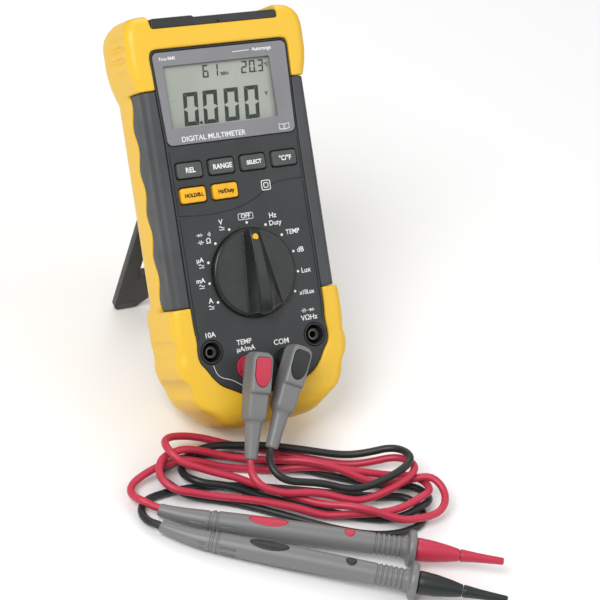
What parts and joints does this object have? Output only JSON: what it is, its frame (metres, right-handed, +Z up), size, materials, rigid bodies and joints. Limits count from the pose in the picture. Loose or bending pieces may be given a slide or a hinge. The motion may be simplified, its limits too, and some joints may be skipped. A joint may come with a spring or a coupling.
{
  "type": "digital multimeter",
  "caption": "Handheld digital multimeter in a rubber holster, tilted back on its folding stand, with two corded test leads plugged in and lying in front.",
  "frame": {"origin": "on the bench, under the centre of the box around the meter and its stand, leads left out", "axes": "+X to the meter's right seen from its face, -Y towards the person reading it, +Z up from the bench"},
  "size_m": [0.1457, 0.2781, 0.171],
  "materials": {
    "battery_case": "gloss",
    "dark_plastic": "satin",
    "screw_steel": "satin",
    "snap_black": "matte",
    "lead_black": "satin",
    "probe_grey": "satin",
    "pin_metal": "polished",
    "button_yellow": "matte",
    "button_grey": "matte",
    "buzzer_black": "matte",
    "lens_clear": "gloss",
    "panel_slate": "satin",
    "fuse_body": "gloss",
    "yellow_rubber": "satin",
    "socket_dark": "gloss",
    "contact_strip": "matte",
    "display_grey": "gloss",
    "dark_grip": "matte",
    "board_green": "satin",
    "contact_white": "satin",
    "lead_red": "satin"
  },
  "bodies": {
    "meter": {"battery_9v": "battery_case", "battery_door": "dark_plastic", "battery_door_screw": "screw_steel", "battery_snap": "snap_black", "buzzer": "buzzer_black", "case_screw_1": "screw_steel", "case_screw_2": "screw_steel", "case_screw_3": "screw_steel", "case_screw_4": "screw_steel", "display_lens": "lens_clear", "end_bar": "dark_plastic", "face_panel": "panel_slate", "front_case": "dark_plastic", "fuse_10a": "fuse_body", "fuse_ma": "fuse_body", "holster": "yellow_rubber", "jack_10a": "socket_dark", "jack_com": "socket_dark", "jack_ma": "socket_dark", "jack_volt": "socket_dark", "keypad_mat": "button_grey", "lcd_connector_strip": "contact_strip", "lcd_glass": "display_grey", "left_grip": "dark_grip", "main_board": "board_green", "rear_case": "dark_plastic", "right_grip": "dark_grip"},
    "kickstand": {"kickstand": "dark_plastic", "kickstand_pin": "pin_metal"},
    "range_switch": {"range_knob": "dark_plastic", "range_rotor": "contact_white"},
    "button_rel": {"button_rel": "button_grey"},
    "button_range": {"button_range": "button_grey"},
    "button_select": {"button_select": "button_grey"},
    "button_unit": {"button_unit": "button_grey"},
    "button_hold": {"button_hold": "button_yellow"},
    "button_freq": {"button_freq": "button_yellow"},
    "test_leads": {"black_cord": "lead_black", "black_plug_body": "probe_grey", "black_plug_inlay": "lead_black", "black_plug_pin": "pin_metal", "black_plug_shroud": "lead_black", "black_probe_boot": "probe_grey", "black_probe_handle": "probe_grey", "black_probe_inlay": "lead_black", "black_probe_needle": "pin_metal", "black_probe_nose": "lead_black", "red_cord": "lead_red", "red_plug_body": "probe_grey", "red_plug_inlay": "lead_red", "red_plug_pin": "pin_metal", "red_plug_shroud": "lead_red", "red_probe_boot": "probe_grey", "red_probe_handle": "probe_grey", "red_probe_inlay": "lead_red", "red_probe_needle": "pin_metal", "red_probe_nose": "lead_red"},
    "red_tip_cap": {"red_tip_cap": "lead_red"},
    "black_tip_cap": {"black_tip_cap": "lead_black"}
  },
  "joints": [
    {"name": "kickstand_hinge", "type": "hinge", "parent": "meter", "child": "kickstand", "pos_m": [0, 0.02753, 0.08823], "axis": [-1, 0, 0], "range_deg": [0, 51.9]},
    {"name": "range_switch_turn", "type": "hinge", "parent": "meter", "child": "range_switch", "pos_m": [0, -0.03294, 0.07686], "axis": [0, 0.7706, -0.6374], "range_deg": [-135, 135]},
    {"name": "button_rel_press", "type": "slide", "parent": "meter", "child": "button_rel", "axis": [0, 0.7706, -0.6374], "range_m": [0, 0.0012], "stiffness_N_per_m": 900, "springref_m": -0.0006},
    {"name": "button_range_press", "type": "slide", "parent": "meter", "child": "button_range", "axis": [0, 0.7706, -0.6374], "range_m": [0, 0.0012], "stiffness_N_per_m": 900, "springref_m": -0.0006},
    {"name": "button_select_press", "type": "slide", "parent": "meter", "child": "button_select", "axis": [0, 0.7706, -0.6374], "range_m": [0, 0.0012], "stiffness_N_per_m": 900, "springref_m": -0.0006},
    {"name": "button_unit_press", "type": "slide", "parent": "meter", "child": "button_unit", "axis": [0, 0.7706, -0.6374], "range_m": [0, 0.0012], "stiffness_N_per_m": 900, "springref_m": -0.0006},
    {"name": "button_hold_press", "type": "slide", "parent": "meter", "child": "button_hold", "axis": [0, 0.7706, -0.6374], "range_m": [0, 0.0012], "stiffness_N_per_m": 900, "springref_m": -0.0006},
    {"name": "button_freq_press", "type": "slide", "parent": "meter", "child": "button_freq", "axis": [0, 0.7706, -0.6374], "range_m": [0, 0.0012], "stiffness_N_per_m": 900, "springref_m": -0.0006},
    {"name": "test_leads_pull", "type": "slide", "parent": "meter", "child": "test_leads", "axis": [0, -0.7706, 0.6374], "range_m": [0, 0.02]},
    {"name": "red_tip_cap_pull", "type": "slide", "parent": "test_leads", "child": "red_tip_cap", "axis": [0.8626, -0.5041, 0.0419], "range_m": [0, 0.021]},
    {"name": "black_tip_cap_pull", "type": "slide", "parent": "test_leads", "child": "black_tip_cap", "axis": [0.8194, -0.5716, 0.0419], "range_m": [0, 0.021]}
  ]
}
